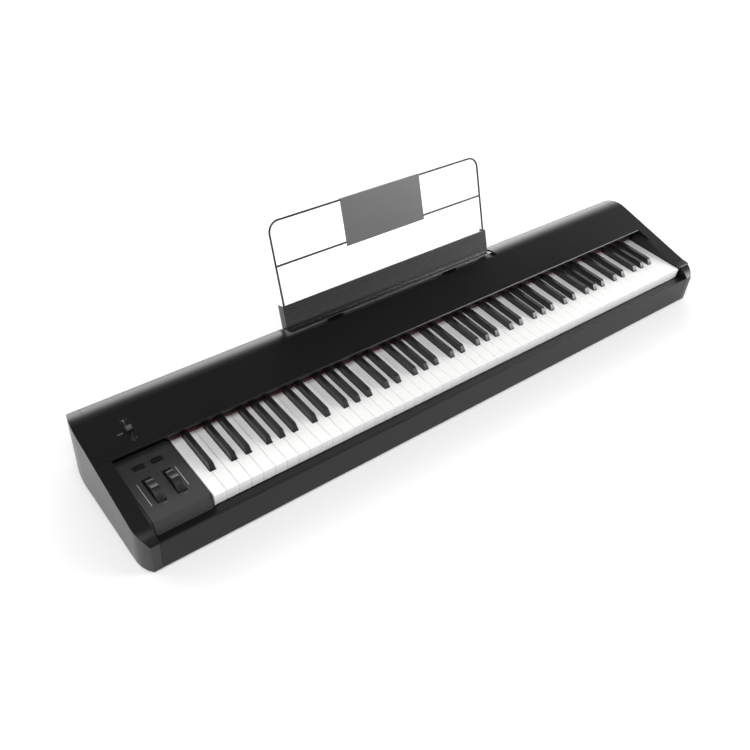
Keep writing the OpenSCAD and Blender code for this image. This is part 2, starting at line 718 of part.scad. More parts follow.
module black_keys(s) color(key_black) place() difference() {
    for (x = note_x(s)) {
        intersection() {
            along_x(x - black_w, x + black_w)
                polygon([[black_front, stick_z], [black_front, key_top + 1], [black_front + 6,
                    key_top + black_rise - 2],
                    [black_front + 9, key_top + black_rise], [white_len - 1, key_top + black_rise],
                    [white_len - 1, key_top], [key_rear, key_top], [key_rear, stick_z]]);
            translate([x, key_rear, 0]) rotate([90, 0, 0]) linear_extrude(key_rear)
                polygon([[-black_w / 2, stick_z], [-black_w / 2, key_top], [-black_top_w / 2,
                    key_top + black_rise],
                    [black_top_w / 2, key_top + black_rise], [black_w / 2, key_top], [black_w / 2,
                        stick_z]]);
        }
        key_underside(x);
    }
    pivot_cut();
}

// A hammer: a lever on its rod, with a push pad under the key's tab and a weight behind
module hammers(s) color(dark_steel) place() for (x = note_x(s)) difference() {
    z0 = hammer_z - arm_h / 2;
    tail_y = hammer_y + hammer_tail;
    union() {
        box(x - hammer_w / 2, x + hammer_w / 2, tab_y - pad_lap, tail_y, z0, z0 + arm_h);
        box(x - hammer_w / 2, x + hammer_w / 2, tab_y - pad_lap, tab_y + tab_l + pad_lap, z0,
            stick_z - tab_drop - pad_gap);
        box(x - hammer_w / 2, x + hammer_w / 2, tail_y, tail_y + weight_l, hammer_z - weight_h / 2,
            hammer_z + weight_h / 2);
    }
    rod_x(x - hammer_w, x + hammer_w, hammer_y, hammer_z, hammer_rod_r + run_gap);
}

module key_c() white_keys(0);
module key_c_sharp() black_keys(1);
module key_d() white_keys(2);
module key_d_sharp() black_keys(3);
module key_e() white_keys(4);
module key_f() white_keys(5);
module key_f_sharp() black_keys(6);
module key_g() white_keys(7);
module key_g_sharp() black_keys(8);
module key_a() white_keys(9);
module key_a_sharp() black_keys(10);
module key_b() white_keys(11);
module hammer_c() hammers(0);
module hammer_c_sharp() hammers(1);
module hammer_d() hammers(2);
module hammer_d_sharp() hammers(3);
module hammer_e() hammers(4);
module hammer_f() hammers(5);
module hammer_f_sharp() hammers(6);
module hammer_g() hammers(7);
module hammer_g_sharp() hammers(8);
module hammer_a() hammers(9);
module hammer_a_sharp() hammers(10);
module hammer_b() hammers(11);

bottom_case();
top_cover();
left_cheek();
right_cheek();
front_rail();
control_panel();
right_key_block();
felt_strip();
key_frame();
key_pivot_rail();
hammer_rod();
front_stop_felt();
contact_board();
contact_strip();
main_board();
panel_board();
pitch_wheel();
mod_wheel();
wheel_bracket();
wheel_axle();
pitch_spring();
octave_down_button();
octave_up_button();
slider_cap();
slider_body();
rest_frame();
rest_plate();
rest_shelf();
jack_plate();
power_button();
dc_inlet();
usb_port();
midi_port();
pedal_jacks();
feet();
case_screws();
key_c();
key_c_sharp();
key_d();
key_d_sharp();
key_e();
key_f();
key_f_sharp();
key_g();
key_g_sharp();
key_a();
key_a_sharp();
key_b();
hammer_c();
hammer_c_sharp();
hammer_d();
hammer_d_sharp();
hammer_e();
hammer_f();
hammer_f_sharp();
hammer_g();
hammer_g_sharp();
hammer_a();
hammer_a_sharp();
hammer_b();
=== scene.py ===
import json
import math

import bmesh
import bpy
from mathutils import Matrix, Vector

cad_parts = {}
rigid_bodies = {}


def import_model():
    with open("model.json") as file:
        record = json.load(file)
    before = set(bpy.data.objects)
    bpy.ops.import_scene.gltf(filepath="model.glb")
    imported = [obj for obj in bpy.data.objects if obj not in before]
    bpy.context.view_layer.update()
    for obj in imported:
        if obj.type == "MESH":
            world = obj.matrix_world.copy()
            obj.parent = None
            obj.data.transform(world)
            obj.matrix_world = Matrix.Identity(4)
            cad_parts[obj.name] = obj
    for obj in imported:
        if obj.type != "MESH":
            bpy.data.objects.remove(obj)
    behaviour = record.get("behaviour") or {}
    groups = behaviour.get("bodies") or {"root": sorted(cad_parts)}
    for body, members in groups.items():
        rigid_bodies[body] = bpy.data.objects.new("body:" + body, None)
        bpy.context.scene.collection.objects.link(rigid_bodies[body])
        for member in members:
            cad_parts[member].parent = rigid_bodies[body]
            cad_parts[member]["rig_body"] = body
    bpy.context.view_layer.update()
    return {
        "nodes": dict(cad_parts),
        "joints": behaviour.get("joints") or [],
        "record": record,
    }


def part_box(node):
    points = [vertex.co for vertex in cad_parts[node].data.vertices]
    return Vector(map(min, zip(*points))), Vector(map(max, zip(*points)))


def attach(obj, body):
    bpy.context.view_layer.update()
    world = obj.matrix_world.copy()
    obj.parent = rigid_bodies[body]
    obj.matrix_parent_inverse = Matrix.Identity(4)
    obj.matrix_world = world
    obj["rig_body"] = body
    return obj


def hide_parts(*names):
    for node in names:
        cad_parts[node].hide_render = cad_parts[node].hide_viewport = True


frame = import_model()
nodes = frame["nodes"]
mm = 0.001
print("frame loaded:", len(nodes), "nodes")

view = dict(place=(-0.9684, -0.9717, 1.1481), azimuth=41.37, elevation=41.13, roll=5.48, lens=40.96)


def addCamera():
    az, el, roll = (math.radians(view[k]) for k in ("azimuth", "elevation", "roll"))
    forward = Vector((math.sin(az) * math.cos(el), math.cos(az) * math.cos(el), -math.sin(el)))
    level = forward.cross(Vector((0, 0, 1))).normalized()
    above = level.cross(forward)
    right = math.cos(roll) * level + math.sin(roll) * above
    up = math.cos(roll) * above - math.sin(roll) * level
    camera = bpy.data.objects.new("camera", bpy.data.cameras.new("camera"))
    camera.data.lens = view["lens"]
    camera.data.clip_end = 50
    turn = Matrix((right, up, -forward)).transposed().to_4x4()
    camera.matrix_world = Matrix.Translation(view["place"]) @ turn
    bpy.context.scene.collection.objects.link(camera)
    bpy.context.scene.camera = camera


addCamera()

studio = dict(
    floorSize=9,
    floorFront=-1.3,
    floorColour=(0.9, 0.9, 0.9, 1),
    floorRough=0.9,
    floorSpecular=0.1,
    # the floor's own glow, kept low beside the piano as a painted shade round its footprint
    floorGlowWithPaintedShade=(0.1, 0.38),  # beside the piano, and further out
    glowReach=0.3,
    footprint=(0.7, 0.16, 0),
    horizon=1.35,
    zenith=0.05,
    skyTurn=(0.44, 0.62),  # heights between which the sky goes dim
    frontTurn=(-0.88, -0.66),
    frontDim=0.08,
    behindTurn=(0.35, 0.75),
    behind=3.0,
    wall=1.0,
)
softBoxes = dict(
    softBoxOver=dict(place=(-1.2, -1.0, 2.9), aim=(0, 0, 0), size=(1.6, 1.4), watts=54),
    softBoxRight=dict(place=(2.5, -1.9, 1.4), aim=(0.4, 0, 0.1), size=(1.4, 1.4), watts=58),
)


def newMaterial(name):
    material = bpy.data.materials.new(name)
    material.use_nodes = True
    tree = material.node_tree
    return material, tree, tree.nodes["Principled BSDF"]


def mapRange(tree, value, low, high, first, last):
    node = tree.nodes.new("ShaderNodeMapRange")
    node.interpolation_type = "SMOOTHSTEP"
    for label, number in (("From Min", low), ("From Max", high), ("To Min", first), ("To Max", last)):
        node.inputs[label].default_value = number
    tree.links.new(value, node.inputs["Value"])
    return node.outputs["Result"]


def addFloor():
    bm = bmesh.new()
    bmesh.ops.create_grid(bm, x_segments=1, y_segments=1, size=studio["floorSize"])
    bmesh.ops.translate(bm, verts=bm.verts, vec=(0, studio["floorFront"] + studio["floorSize"], 0))
    mesh = bpy.data.meshes.new("floor")
    bm.to_mesh(mesh)
    bm.free()
    floor = bpy.data.objects.new("floor", mesh)
    bpy.context.scene.collection.objects.link(floor)
    material, tree, shader = newMaterial("studioFloor")
    shader.inputs["Base Color"].default_value = studio["floorColour"]
    shader.inputs["Roughness"].default_value = studio["floorRough"]
    shader.inputs["Specular IOR Level"].default_value = studio["floorSpecular"]
    # the floor glows, less beside the piano's footprint: a painted shade round the piano that lifts to white
    # further out
    coords = tree.nodes.new("ShaderNodeTexCoord")
    away = coords.outputs["Object"]
    for operation, value in (("ABSOLUTE", None), ("SUBTRACT", studio["footprint"]), ("MAXIMUM", (0, 0, 0)),
            ("LENGTH", None)):
        step = tree.nodes.new("ShaderNodeVectorMath")
        step.operation = operation
        tree.links.new(away, step.inputs[0])
        if value:
            step.inputs[1].default_value = value
        away = step.outputs["Value" if operation == "LENGTH" else "Vector"]
    shader.inputs["Emission Color"].default_value = (1, 1, 1, 1)
    tree.links.new(mapRange(tree, away, 0.0, studio["glowReach"], *studio["floorGlowWithPaintedShade"]),
        shader.inputs["Emission Strength"])
    mesh.materials.append(material)


def addSky():
    # bright low down behind and beside the piano, dim overhead and straight in front
    world = bpy.data.worlds.new("studioSky")
    bpy.context.scene.world = world
    world.use_nodes = True
    tree = world.node_tree
    coords = tree.nodes.new("ShaderNodeTexCoord")
    split = tree.nodes.new("ShaderNodeSeparateXYZ")
    tree.links.new(coords.outputs["Generated"], split.inputs[0])
    glow = mapRange(tree, split.outputs["Z"], *studio["skyTurn"], studio["horizon"], studio["zenith"])
    for factor in (mapRange(tree, split.outputs["Y"], *studio["frontTurn"], studio["frontDim"], 1.0),
            mapRange(tree, split.outputs["Y"], *studio["behindTurn"], 1.0, studio["behind"])):
        both = tree.nodes.new("ShaderNodeMath")
        both.operation = "MULTIPLY"
        tree.links.new(glow, both.inputs[0])
        tree.links.new(factor, both.inputs[1])
        glow = both.outputs[0]
    # the wall behind the floor's edge is plain white to look at, whatever it lights
    seen = tree.nodes.new("ShaderNodeLightPath")
    mix = tree.nodes.new("ShaderNodeMix")
    tree.links.new(seen.outputs["Is Camera Ray"], mix.inputs["Factor"])
    tree.links.new(glow, mix.inputs["A"])
    mix.inputs["B"].default_value = studio["wall"]
    tree.links.new(mix.outputs["Result"], tree.nodes["Background"].inputs["Strength"])
    tree.nodes["Background"].inputs["Color"].default_value = (1, 1, 1, 1)


def addSoftBox(name, place, aim, size, watts):
    light = bpy.data.lights.new(name, "AREA")
    light.shape = "RECTANGLE"
    light.size, light.size_y = size
    light.energy = watts
    box = bpy.data.objects.new(name, light)
    box.location = place
    box.rotation_euler = (Vector(aim) - Vector(place)).to_track_quat("-Z", "Y").to_euler()
    bpy.context.scene.collection.objects.link(box)


addFloor()
addSky()
for boxName, boxFacts in softBoxes.items():
    addSoftBox(boxName, **boxFacts)
bpy.context.scene.view_settings.view_transform = "Standard"
print("stage set")


def newGroup(name, inputs, outputs):
    group = bpy.data.node_groups.new(name, "ShaderNodeTree")
    for label, kind, value in inputs:
        socket = group.interface.new_socket(label, in_out="INPUT", socket_type=kind)
        socket.default_value = value
    for label, kind in outputs:
        group.interface.new_socket(label, in_out="OUTPUT", socket_type=kind)
    start = group.nodes.new("NodeGroupInput")
    end = group.nodes.new("NodeGroupOutput")
    return group, start.outputs, end.inputs


def mathNode(tree, operation, first, second):
    node = tree.nodes.new("ShaderNodeMath")
    node.operation = operation
    for socket, value in zip(node.inputs, (first, second)):
        if isinstance(value, (int, float)):
            socket.default_value = value
        else:
            tree.links.new(value, socket)
    return node.outputs[0]


def textureNode(tree, kind, scale, stretch=None, **inputs):
    coords = tree.nodes.new("ShaderNodeTexCoord")
    vector = coords.outputs["Object"]
    if stretch:
        mapping = tree.nodes.new("ShaderNodeMapping")
        mapping.inputs["Scale"].default_value = stretch
        tree.links.new(vector, mapping.inputs["Vector"])
        vector = mapping.outputs[0]
    node = tree.nodes.new(kind)
    tree.links.new(vector, node.inputs["Vector"])
    if isinstance(scale, (int, float)):
        node.inputs["Scale"].default_value = scale
    else:
        tree.links.new(scale, node.inputs["Scale"])
    for label, value in inputs.items():
        node.inputs[label].default_value = value
    return node


patterns = dict(glossCloud=14.0, toneCloud=7.0, rub=60.0, brush=900.0, brushStretch=(0.02, 1, 1),
    hairs=1500.0, hairStretch=(0.25, 1, 1), tufts=240.0)


def makeGrain():
    # the fine spark-eroded skin of a moulding: small pits with a softer swell under them
    group, inside, out = newGroup("mouldedGrain",
        [("Size", "NodeSocketFloat", 900.0), ("Rough", "NodeSocketFloat", 0.4),
         ("Spread", "NodeSocketFloat", 0.08)],
        [("Height", "NodeSocketFloat"), ("Roughness", "NodeSocketFloat")])
    pits = textureNode(group, "ShaderNodeTexVoronoi", inside["Size"])
    swell = textureNode(group, "ShaderNodeTexNoise", inside["Size"], Detail=3.0)
    both = mathNode(group, "ADD", pits.outputs["Distance"], swell.outputs["Fac"])
    group.links.new(both, out["Height"])
    cloud = textureNode(group, "ShaderNodeTexNoise", patterns["glossCloud"], Detail=4.0)
    swing = mathNode(group, "MULTIPLY", mathNode(group, "SUBTRACT", cloud.outputs["Fac"], 0.5),
        inside["Spread"])
    group.links.new(mathNode(group, "ADD", inside["Rough"], swing), out["Roughness"])
    return group


def makeTone():
    # slow change of tone over a surface; the bevels are mixed towards the edge colour, which is handling wear
    # and, where that colour is lighter, a painted highlight along the edge
    group, inside, out = newGroup("toneWearAndHighlight",
        [("Colour", "NodeSocketColor", (1, 1, 1, 1)), ("Edge", "NodeSocketColor", (1, 1, 1, 1)),
         ("Drift", "NodeSocketFloat", 0.1), ("Wear", "NodeSocketFloat", 0.5)],
        [("Colour", "NodeSocketColor")])
    cloud = textureNode(group, "ShaderNodeTexNoise", patterns["toneCloud"], Detail=5.0)
    tone = mathNode(group, "ADD", mathNode(group, "MULTIPLY",
        mathNode(group, "SUBTRACT", cloud.outputs["Fac"], 0.5), inside["Drift"]), 1.0)
    shade = group.nodes.new("ShaderNodeVectorMath")
    shade.operation = "SCALE"
    group.links.new(inside["Colour"], shade.inputs[0])
    group.links.new(tone, shade.inputs["Scale"])
    # the bevel mask: handling wear and a painted edge highlight are mixed in through it
    edge = group.nodes.new("ShaderNodeAttribute")
    edge.attribute_name = "softEdge"
    rub = textureNode(group, "ShaderNodeTexNoise", patterns["rub"], Detail=6.0)
    wearAndPaintedHighlight = mathNode(group, "MULTIPLY",
        mathNode(group, "MULTIPLY", edge.outputs["Fac"], rub.outputs["Fac"]), inside["Wear"])
    mix = group.nodes.new("ShaderNodeMix")
    mix.data_type = "RGBA"
    group.links.new(wearAndPaintedHighlight, mix.inputs["Factor"])
    group.links.new(shade.outputs[0], mix.inputs["A"])
    group.links.new(inside["Edge"], mix.inputs["B"])
    group.links.new(mix.outputs["Result"], out["Colour"])
    return group


def makeBrushing():
    # fine lines drawn along X in metal
    group, inside, out = newGroup("brushedLines",
        [("Rough", "NodeSocketFloat", 0.35), ("Spread", "NodeSocketFloat", 0.12)],
        [("Height", "NodeSocketFloat"), ("Roughness", "NodeSocketFloat")])
    lines = textureNode(group, "ShaderNodeTexNoise", patterns["brush"], patterns["brushStretch"],
        Detail=3.0)
    group.links.new(lines.outputs["Fac"], out["Height"])
    swing = mathNode(group, "MULTIPLY", mathNode(group, "SUBTRACT", lines.outputs["Fac"], 0.5),
        inside["Spread"])
    group.links.new(mathNode(group, "ADD", inside["Rough"], swing), out["Roughness"])
    return group


def makeFibre():
    # matted wool: short crossed hairs and small tufts
    group, inside, out = newGroup("woolFibre",
        [("Colour", "NodeSocketColor", (0.2, 0.01, 0.02, 1)),
         ("Light", "NodeSocketColor", (0.4, 0.05, 0.06, 1))],
        [("Colour", "NodeSocketColor"), ("Height", "NodeSocketFloat")])
    hairs = textureNode(group, "ShaderNodeTexNoise", patterns["hairs"], patterns["hairStretch"],
        Detail=4.0, Distortion=1.5)
    tufts = textureNode(group, "ShaderNodeTexNoise", patterns["tufts"], Detail=3.0)
    nap = mathNode(group, "MULTIPLY", hairs.outputs["Fac"], tufts.outputs["Fac"])
    group.links.new(nap, out["Height"])
    mix = group.nodes.new("ShaderNodeMix")
    mix.data_type = "RGBA"
    group.links.new(mathNode(group, "MULTIPLY", nap, 2.0), mix.inputs["Factor"])
    group.links.new(inside["Colour"], mix.inputs["A"])
    group.links.new(inside["Light"], mix.inputs["B"])
    group.links.new(mix.outputs["Result"], out["Colour"])
    return group


mouldedGrain = makeGrain()
toneWearAndHighlight = makeTone()
brushedLines = makeBrushing()
woolFibre = makeFibre()


def placeGroup(tree, group, **values):
    node = tree.nodes.new("ShaderNodeGroup")
    node.node_tree = group
    for label, value in values.items():
        node.inputs[label].default_value = value
    return node


def addBump(tree, shader, height, strength, distance):
    bump = tree.nodes.new("ShaderNodeBump")
    bump.inputs["Strength"].default_value = strength
    bump.inputs["Distance"].default_value = distance
    tree.links.new(height, bump.inputs["Height"])
    tree.links.new(bump.outputs["Normal"], shader.inputs["Normal"])


plastics = dict(
    # edge is the colour the bevels are mixed towards: handling wear and, where it is lighter than colour, a
    # painted highlight
    casePlastic=dict(colour=(0.006, 0.006, 0.0065, 1), edge=(0.035, 0.035, 0.036, 1), wearAndHighlight=0.5,
        drift=0.25, rough=0.3, spread=0.05, grain=1100, bump=0.12, specular=0.45),
    railPlastic=dict(colour=(0.008, 0.008, 0.0085, 1), edge=(0.06, 0.06, 0.062, 1), wearAndHighlight=0.5,
        drift=0.2, rough=0.34, spread=0.05, grain=1100, bump=0.12, specular=0.22),
    panelPlastic=dict(colour=(0.040, 0.040, 0.041, 1), edge=(0.07, 0.07, 0.072, 1), wearAndHighlight=0.5,
        drift=0.12, rough=0.5, spread=0.06, grain=1300, bump=0.15, specular=0.25),
    controlPlastic=dict(colour=(0.010, 0.010, 0.010, 1), edge=(0.04, 0.04, 0.04, 1), wearAndHighlight=0.4,
        drift=0.2, rough=0.36, spread=0.08, grain=1800, bump=0.12, specular=0.5),
    # a lighter grey for ridges: on the wheel ridges it is a painted highlight of their flat tops; the slider
    # cap's ribs are drawn in it too
    ridgeHighlightGrey=dict(colour=(0.13, 0.13, 0.13, 1), edge=(0.2, 0.2, 0.2, 1), wearAndHighlight=0.4,
        drift=0.2, rough=0.5, spread=0.08, grain=1500, bump=0.12, specular=0.5),
    whiteKey=dict(colour=(0.92, 0.92, 0.91, 1), edge=(0.9, 0.9, 0.89, 1), wearAndHighlight=0.4,
        drift=0.02, rough=0.2, spread=0.05, grain=500, bump=0.015, specular=0.5),
    blackKey=dict(colour=(0.012, 0.012, 0.0125, 1), edge=(0.04, 0.04, 0.042, 1), wearAndHighlight=0.5,
        drift=0.15, rough=0.3, spread=0.05, grain=1600, bump=0.06, specular=0.6),
    footRubber=dict(colour=(0.02, 0.02, 0.02, 1), edge=(0.05, 0.05, 0.05, 1), wearAndHighlight=0.6,
        drift=0.3, rough=0.75, spread=0.1, grain=700, bump=0.3, specular=0.3),
    circuitBoard=dict(colour=(0.02, 0.12, 0.05, 1), edge=(0.2, 0.18, 0.08, 1), wearAndHighlight=0.5,
        drift=0.3, rough=0.35, spread=0.1, grain=400, bump=0.08, specular=0.5),
    markPaint=dict(colour=(0.5, 0.5, 0.49, 1), edge=(0.6, 0.6, 0.6, 1), wearAndHighlight=0.3,
        drift=0.06, rough=0.55, spread=0.1, grain=900, bump=0.1, specular=0.4),
    dimPaint=dict(colour=(0.16, 0.16, 0.16, 1), edge=(0.2, 0.2, 0.2, 1), wearAndHighlight=0.3,
        drift=0.06, rough=0.6, spread=0.1, grain=900, bump=0.1, specular=0.3),
)


def makePlastic(name, facts):
    material, tree, shader = newMaterial(name)
    tone = placeGroup(tree, toneWearAndHighlight, Colour=facts["colour"], Edge=facts["edge"], Drift=facts["drift"],
        Wear=facts["wearAndHighlight"])
    grain = placeGroup(tree, mouldedGrain, Size=facts["grain"], Rough=facts["rough"], Spread=facts["spread"])
    tree.links.new(tone.outputs["Colour"], shader.inputs["Base Color"])
    tree.links.new(grain.outputs["Roughness"], shader.inputs["Roughness"])
    shader.inputs["Specular IOR Level"].default_value = facts["specular"]
    addBump(tree, shader, grain.outputs["Height"], facts["bump"], 0.0002)
    return material


metals = dict(
    # edge is the colour the bevels are mixed towards: handling wear and, where it is lighter than colour, a
    # painted highlight
    shelfSteel=dict(colour=(0.07, 0.07, 0.07, 1), edge=(0.35, 0.35, 0.35, 1), metallic=0.9, rough=0.26),
    plateSteel=dict(colour=(0.13, 0.13, 0.13, 1), edge=(0.4, 0.4, 0.4, 1), metallic=0.4, rough=0.36),
    wireSteel=dict(colour=(0.02, 0.02, 0.021, 1), edge=(0.1, 0.1, 0.1, 1), metallic=0.0, rough=0.3),
    bareSteel=dict(colour=(0.55, 0.56, 0.58, 1), edge=(0.8, 0.8, 0.8, 1), metallic=1.0, rough=0.32),
    darkScrew=dict(colour=(0.06, 0.06, 0.065, 1), edge=(0.4, 0.4, 0.4, 1), metallic=0.8, rough=0.35),
    hammerIron=dict(colour=(0.12, 0.12, 0.125, 1), edge=(0.3, 0.3, 0.3, 1), metallic=0.7, rough=0.45),
    contactBrass=dict(colour=(0.62, 0.45, 0.18, 1), edge=(0.9, 0.75, 0.4, 1), metallic=1.0, rough=0.28),
)


def makeMetal(name, facts):
    material, tree, shader = newMaterial(name)
    tone = placeGroup(tree, toneWearAndHighlight, Colour=facts["colour"], Edge=facts["edge"], Drift=0.15, Wear=0.6)
    brushed = placeGroup(tree, brushedLines, Rough=facts["rough"], Spread=0.12)
    tree.links.new(tone.outputs["Colour"], shader.inputs["Base Color"])
    tree.links.new(brushed.outputs["Roughness"], shader.inputs["Roughness"])
    shader.inputs["Metallic"].default_value = facts["metallic"]
    addBump(tree, shader, brushed.outputs["Height"], 0.08, 0.0002)
    return material


def makeFelt(name, colour, light):
    material, tree, shader = newMaterial(name)
    wool = placeGroup(tree, woolFibre, Colour=colour, Light=light)
    tree.links.new(wool.outputs["Colour"], shader.inputs["Base Color"])
    shader.inputs["Roughness"].default_value = 0.95
    shader.inputs["Sheen Weight"].default_value = 0.2
    addBump(tree, shader, wool.outputs["Height"], 0.6, 0.0005)
    return material


finish = {name: makePlastic(name, facts) for name, facts in plastics.items()}
finish.update({name: makeMetal(name, facts) for name, facts in metals.items()})
finish["redFelt"] = makeFelt("redFelt", (0.06, 0.002, 0.008, 1), (0.12, 0.006, 0.018, 1))
finish["greyFelt"] = makeFelt("greyFelt", (0.01, 0.01, 0.011, 1), (0.03, 0.03, 0.032, 1))
print("finishes made:", len(finish))


def makeObject(bm, name, material, body, slot, stands=(), smooth=35, weighted=True):
    mesh = bpy.data.meshes.new(name)
    bm.to_mesh(mesh)
    bm.free()
    mesh.materials.append(finish[material])
    mesh.polygons.foreach_set("use_smooth", [True] * len(mesh.polygons))
    mesh.set_sharp_from_angle(angle=math.radians(smooth))
    piece = bpy.data.objects.new(name, mesh)
    bpy.context.scene.collection.objects.link(piece)
    if weighted:
        piece.modifiers.new("evenNormals", "WEIGHTED_NORMAL").keep_sharp = True
    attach(piece, body)
    if stands:
        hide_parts(*stands)
    return piece


def cadMesh(node):
    bm = bmesh.new()
    bm.from_mesh(nodes[node].data)
    bmesh.ops.remove_doubles(bm, verts=bm.verts, dist=2e-6)
    bmesh.ops.dissolve_limit(bm, angle_limit=math.radians(0.5), verts=bm.verts, edges=bm.edges)
    return bm


def sharpEdges(bm, degrees=35, where=None):
    limit = math.radians(degrees)
    found = [e for e in bm.edges if e.is_manifold and e.calc_face_angle(0) > limit]
    return [e for e in found if where is None or where(e)]


def roundEdges(bm, edges, width, segments=3):
    # the bevel's own faces carry softEdge, which the finishes mix towards the edge colour: handling wear, and
    # a painted highlight where that colour is lighter
    layer = bm.faces.layers.float.get("softEdge") or bm.faces.layers.float.new("softEdge")
    made = bmesh.ops.bevel(bm, geom=edges, offset=width, offset_type="OFFSET", segments=segments,
        profile=0.5, affect="EDGES", clamp_overlap=True, material=-1)
    for face in made["faces"]:
        face[layer] = 1.0


def softenedCopy(node, material, slot, width, segments=3, where=None, degrees=35, change=None):
    bm = cadMesh(node)
    if change:
        change(bm)
    roundEdges(bm, sharpEdges(bm, degrees, where), width, segments)
    return makeObject(bm, node + ".skin", material, nodes[node]["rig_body"], slot, [node])


def addBlock(bm, centre, size, rounding, turn=None, segments=2):
    # a small block with every edge rounded, its size given along its own axes
    place = Matrix.Translation(centre) @ (turn or Matrix()) @ Matrix.Diagonal((*size, 1))
    made = bmesh.ops.create_cube(bm, size=1, matrix=place)
    edges = list({e for v in made["verts"] for e in v.link_edges})
    bmesh.ops.bevel(bm, geom=edges, offset=rounding, offset_type="OFFSET", segments=segments,
        profile=0.5, affect="EDGES", clamp_overlap=True, material=-1)


def addTurned(bm, profile, centre, turn=None, steps=48):
    # a turned form: (radius, height) pairs spun about the form's own Z
    verts = [bm.verts.new((r, 0, h)) for r, h in profile]
    edges = [bm.edges.new(pair) for pair in zip(verts, verts[1:])]
    made = bmesh.ops.spin(bm, geom=verts + edges, cent=(0, 0, 0), axis=(0, 0, 1), angle=math.tau,
        steps=steps, use_merge=True)
    island = set(verts)
    edge = list(verts)
    while edge:
        vert = edge.pop()
        for link in vert.link_edges:
            other = link.other_vert(vert)
            if other not in island:
                island.add(other)
                edge.append(other)
    bmesh.ops.remove_doubles(bm, verts=list(island), dist=1e-6)
    island = [v for v in island if v.is_valid]
    faces = list({f for v in island for f in v.link_faces})
    bmesh.ops.recalc_face_normals(bm, faces=faces)
    bmesh.ops.transform(bm, matrix=Matrix.Translation(centre) @ (turn or Matrix()), verts=island)


# node: finish, rounding of its edges, steps in that rounding
caseParts = dict(
    top_cover=("casePlastic", 0.8 * mm, 3),
    left_cheek=("casePlastic", 1 * mm, 3),
    right_cheek=("casePlastic", 1 * mm, 3),
    front_rail=("railPlastic", 0.9 * mm, 3),
    control_panel=("panelPlastic", 0.4 * mm, 3),
    right_key_block=("casePlastic", 0.6 * mm, 3),
    bottom_case=("casePlastic", 0.6 * mm, 2),
)
for node, (material, rounding, steps) in caseParts.items():
    slot = "panel_plastic" if node == "control_panel" else "case_plastic"
    softenedCopy(node, material, slot, rounding, steps)
print("case done")

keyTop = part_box("key_c")[1].z
keys = dict(fill=0.1 * mm, whiteRounding=0.3 * mm, blackRounding=0.4 * mm)


def islands(bm):
    left = set(bm.verts)
    while left:
        start = left.pop()
        group, edge = [start], [start]
        while edge:
            for link in edge.pop().link_edges:
                for vert in link.verts:
                    if vert in left:
                        left.discard(vert)
                        group.append(vert)
                        edge.append(vert)
        yield group


def fillOut(bm):
    # each white key is drawn a little wider than its solid, so the joints between keys stay fine
    for group in islands(bm):
        low = min(v.co.x for v in group)
        high = max(v.co.x for v in group)
        for vert in group:
            if vert.co.x < low + keys["fill"]:
                vert.co.x -= keys["fill"]
            elif vert.co.x > high - keys["fill"]:
                vert.co.x += keys["fill"]


def edgeTouches(height, slack=0.0004):
    return lambda e: all(v.co.z > height - slack for v in e.verts)


for name in nodes:
    if not name.startswith("key_") or name in ("key_frame", "key_pivot_rail"):
        continue
    if name.endswith("_sharp"):
        softenedCopy(name, "blackKey", "black_key", keys["blackRounding"], 3, edgeTouches(keyTop, 2 * mm))
    else:
        softenedCopy(name, "whiteKey", "white_key", keys["whiteRounding"], 2, edgeTouches(keyTop),
            change=fillOut)
print("keys done")

handledParts = dict(
    octave_down_button=("controlPlastic", "control_plastic", 0.7 * mm, 4),
    octave_up_button=("controlPlastic", "control_plastic", 0.7 * mm, 4),
    slider_cap=("controlPlastic", "control_plastic", 0.5 * mm, 3),
    rest_frame=("wireSteel", "rest_steel", 0.2 * mm, 2),
    rest_plate=("plateSteel", "rest_steel", 0.4 * mm, 3),
    rest_shelf=("shelfSteel", "rest_steel", 0.5 * mm, 3),
)
for node, facts in handledParts.items():
    softenedCopy(node, *facts)

wheels = dict(ridgeAngles=(26, -6), ridgeWidth=4 * mm, ridgeDeep=2 * mm, ridgeProud=0.5 * mm,
    sideRoom=1.2 * mm, rounding=0.6 * mm)


def addWheel(node):
    softenedCopy(node, "controlPlastic", "control_plastic", wheels["rounding"], 3)
    low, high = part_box(node)
    radius = (high.y - low.y) / 2
    middle = Vector(((low.x + high.x) / 2, (low.y + high.y) / 2, low.z + radius))
    bm = bmesh.new()
    for angle in wheels["ridgeAngles"]:
        turn = Matrix.Rotation(math.radians(-angle), 4, "X")
        reach = radius + wheels["ridgeProud"] - wheels["ridgeDeep"] / 2
        addBlock(bm, middle + turn @ Vector((0, 0, reach)),
            (high.x - low.x - wheels["sideRoom"], wheels["ridgeWidth"], wheels["ridgeDeep"]), 0.5 * mm,
            turn, 3)
    # the ridge bars are lighter grey than the wheel: a painted highlight along the ridges
    makeObject(bm, node + ".ridges", "ridgeHighlightGrey", nodes[node]["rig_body"], "control_plastic")
    return middle, radius


pitchMiddle, wheelRadius = addWheel("pitch_wheel")
modMiddle, _ = addWheel("mod_wheel")
panelTop = max(v.co.z for v in nodes["control_panel"].data.vertices)

# a line is (across from its wheel, front end, back end)
marks = dict(thick=0.16 * mm, rounding=0.05 * mm, lineWidth=0.9 * mm, pitchLine=(-18 * mm, -29 * mm, 24 * mm),
    modLine=(15 * mm, -21 * mm, 26 * mm), dash=(3 * mm, 0.8 * mm), dashStart=1 * mm, dashStep=4.4 * mm,
    dashFront=-34 * mm)


